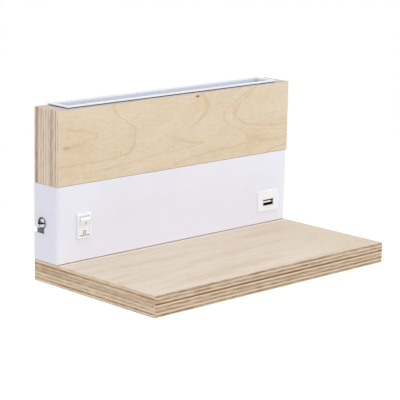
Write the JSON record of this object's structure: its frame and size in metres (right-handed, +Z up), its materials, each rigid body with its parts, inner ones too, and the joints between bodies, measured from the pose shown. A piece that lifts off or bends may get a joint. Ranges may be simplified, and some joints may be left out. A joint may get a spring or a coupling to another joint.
{
  "type": "wall lamp with shelf",
  "caption": "Wall uplighter: a plywood hood with a recessed light tray over a white steel case with a rocker switch and a USB socket, and a deep plywood shelf board below.",
  "frame": {"origin": "on the wall plane, midway between the bracket's two round wall-screw holes, at the height of the clamp screws' axis", "axes": "+X to the lamp's right as seen from the room, +Y into the wall, +Z up; the wall is y = 0 and the shelf reaches towards -Y"},
  "size_m": [0.277, 0.148, 0.1477],
  "materials": {
    "white_powder_coat": "fine satin powder coat",
    "birch_plywood": "clear matt lacquer on birch plywood",
    "opal_acrylic": "opal, translucent",
    "white_circuit_board": "white solder mask",
    "green_circuit_board": "green solder mask",
    "chip_phosphor": "yellow phosphor gel",
    "zinc_plate": "bright zinc plate",
    "nickel_plate": "nickel plate",
    "polished_chrome": "polished chrome plate",
    "black_rubber": "matt moulded rubber",
    "white_plastic": "moulded, semi-gloss",
    "grey_white_plastic": "moulded, matt",
    "natural_nylon": "translucent nylon",
    "grey_acetal": "moulded acetal",
    "brass": "turned and stamped brass",
    "yellow_tape": "ferrite core under yellow tape",
    "black_sleeve": "shrink sleeve",
    "brown_insulation": "brown wire insulation",
    "blue_insulation": "blue wire insulation",
    "black_insulation": "black wire insulation",
    "green_yellow_insulation": "green and yellow wire insulation"
  },
  "bodies": {
    "bracket": {"wall_bracket": "zinc_plate", "weld_nuts": "zinc_plate", "cable_bushing": "black_rubber"},
    "lamp": {"metal_housing": "white_powder_coat", "plywood_hood": "birch_plywood", "shelf_board": "birch_plywood", "light_tray": "white_powder_coat", "diffuser_plate": "opal_acrylic", "led_board": "white_circuit_board", "led_chips": "chip_phosphor", "led_board_screws": "zinc_plate", "tray_screws": "zinc_plate", "tray_grommet": "black_rubber", "housing_grommet": "black_rubber", "hood_screws": "zinc_plate", "shelf_screws": "zinc_plate", "driver_case": "grey_white_plastic", "driver_lid": "grey_white_plastic", "driver_board": "green_circuit_board", "driver_transformer": "yellow_tape", "driver_capacitor": "black_sleeve", "driver_screws": "zinc_plate", "terminal_block": "natural_nylon", "terminal_tubes": "brass", "terminal_screws": "zinc_plate", "terminal_block_screw": "zinc_plate", "earth_tag": "nickel_plate", "earth_screw": "brass", "switch_body": "white_plastic", "switch_terminals": "brass", "usb_faceplate": "white_plastic", "usb_back_cover": "white_plastic", "usb_shell": "nickel_plate", "usb_tongue": "white_plastic", "usb_contacts": "brass", "usb_board": "green_circuit_board", "usb_transformer": "yellow_tape", "usb_capacitor": "black_sleeve", "switch_live_wire": "brown_insulation", "switched_live_wire": "black_insulation", "neutral_wire": "blue_insulation", "earth_wire": "green_yellow_insulation", "usb_wires": "brown_insulation", "led_wires": "black_insulation"},
    "rocker": {"switch_rocker": "white_plastic", "switch_plunger": "grey_acetal", "switch_spring": "zinc_plate"},
    "lever": {"contact_lever": "brass"},
    "left_washer": {"left_washer": "polished_chrome"},
    "left_screw": {"left_clamp_screw": "polished_chrome"},
    "right_washer": {"right_washer": "polished_chrome"},
    "right_screw": {"right_clamp_screw": "polished_chrome"}
  },
  "joints": [
    {"name": "lamp_lift", "type": "slide", "parent": "bracket", "child": "lamp", "axis": [0, 0, 1], "range_m": [0, 0.0069]},
    {"name": "rocker_tilt", "type": "hinge", "parent": "lamp", "child": "rocker", "pos_m": [-0.1076, -0.0285, -0.0027], "axis": [-1, 0, 0], "range_deg": [0, 22]},
    {"name": "contact_rock", "type": "hinge", "parent": "lamp", "child": "lever", "pos_m": [-0.1076, -0.02082, -0.0027], "axis": [-1, 0, 0], "range_deg": [-14, 0]},
    {"name": "left_washer_slide", "type": "slide", "parent": "bracket", "child": "left_washer", "axis": [-1, 0, 0], "range_m": [0, 0.0014]},
    {"name": "left_screw_turn", "type": "hinge", "parent": "left_washer", "child": "left_screw", "pos_m": [-0.1358, -0.0107, 0], "axis": [-1, 0, 0], "range_deg": [0, 721]},
    {"name": "right_washer_slide", "type": "slide", "parent": "bracket", "child": "right_washer", "axis": [1, 0, 0], "range_m": [0, 0.0014]},
    {"name": "right_screw_turn", "type": "hinge", "parent": "right_washer", "child": "right_screw", "pos_m": [0.1358, -0.0107, 0], "axis": [1, 0, 0], "range_deg": [0, 721]}
  ],
  "couplings": [
    {"joint": "contact_rock", "follows": "rocker_tilt", "ratio": -0.63636},
    {"joint": "left_screw_turn", "follows": "left_washer_slide", "rad_per_m": 8976},
    {"joint": "right_screw_turn", "follows": "right_washer_slide", "rad_per_m": 8976}
  ]
}
